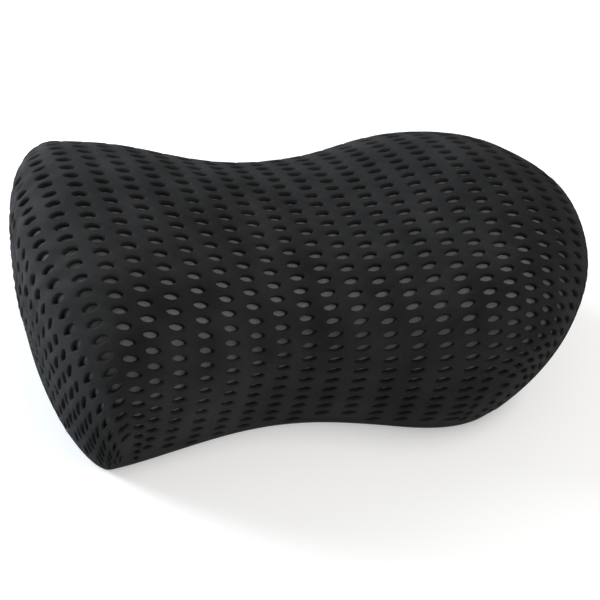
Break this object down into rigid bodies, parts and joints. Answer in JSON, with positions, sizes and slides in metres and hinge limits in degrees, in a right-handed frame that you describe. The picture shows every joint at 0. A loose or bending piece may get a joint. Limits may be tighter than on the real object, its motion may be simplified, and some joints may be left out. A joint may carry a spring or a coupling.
{
  "type": "lumbar support cushion",
  "caption": "Bone-shaped lumbar support cushion: crowned foam pad with a saddle waist, in a black spacer-mesh cover with a zip along its flat back.",
  "frame": {"origin": "centre of the bounding box's bottom, on the surface that the flat back rests on", "axes": "+X along the cushion's length, from the blunt end to the round end; +Z out of the crowned front, up when it lies on its back; +Y across its width"},
  "size_m": [0.3401, 0.2038, 0.1157],
  "materials": {
    "spacer_mesh": "matte",
    "back_fabric": "matte",
    "liner_knit": "matte",
    "foam": "matte",
    "zip_tape": "matte",
    "zip_coil": "satin",
    "zip_metal": "satin"
  },
  "bodies": {
    "cushion": {"mesh_cover_front": "spacer_mesh", "back_panel_upper": "back_fabric", "back_panel_lower": "back_fabric", "liner_front": "liner_knit", "liner_back": "liner_knit", "foam_core": "foam", "zip_tape_upper": "zip_tape", "zip_tape_lower": "zip_tape", "zip_coil_upper": "zip_coil", "zip_coil_lower": "zip_coil", "zip_top_stops": "zip_metal", "zip_bottom_stop": "zip_metal"},
    "zip_slider": {"zip_slider_body": "zip_metal"},
    "zip_pull": {"zip_pull_tab": "zip_metal"}
  },
  "joints": [
    {"name": "zip_slide", "type": "slide", "parent": "cushion", "child": "zip_slider", "axis": [1, 0, 0], "range_m": [0, 0.234]},
    {"name": "pull_hinge", "type": "hinge", "parent": "zip_slider", "child": "zip_pull", "pos_m": [-0.121, 0, 0.0016], "axis": [0, 1, 0], "range_deg": [0, 165]}
  ]
}
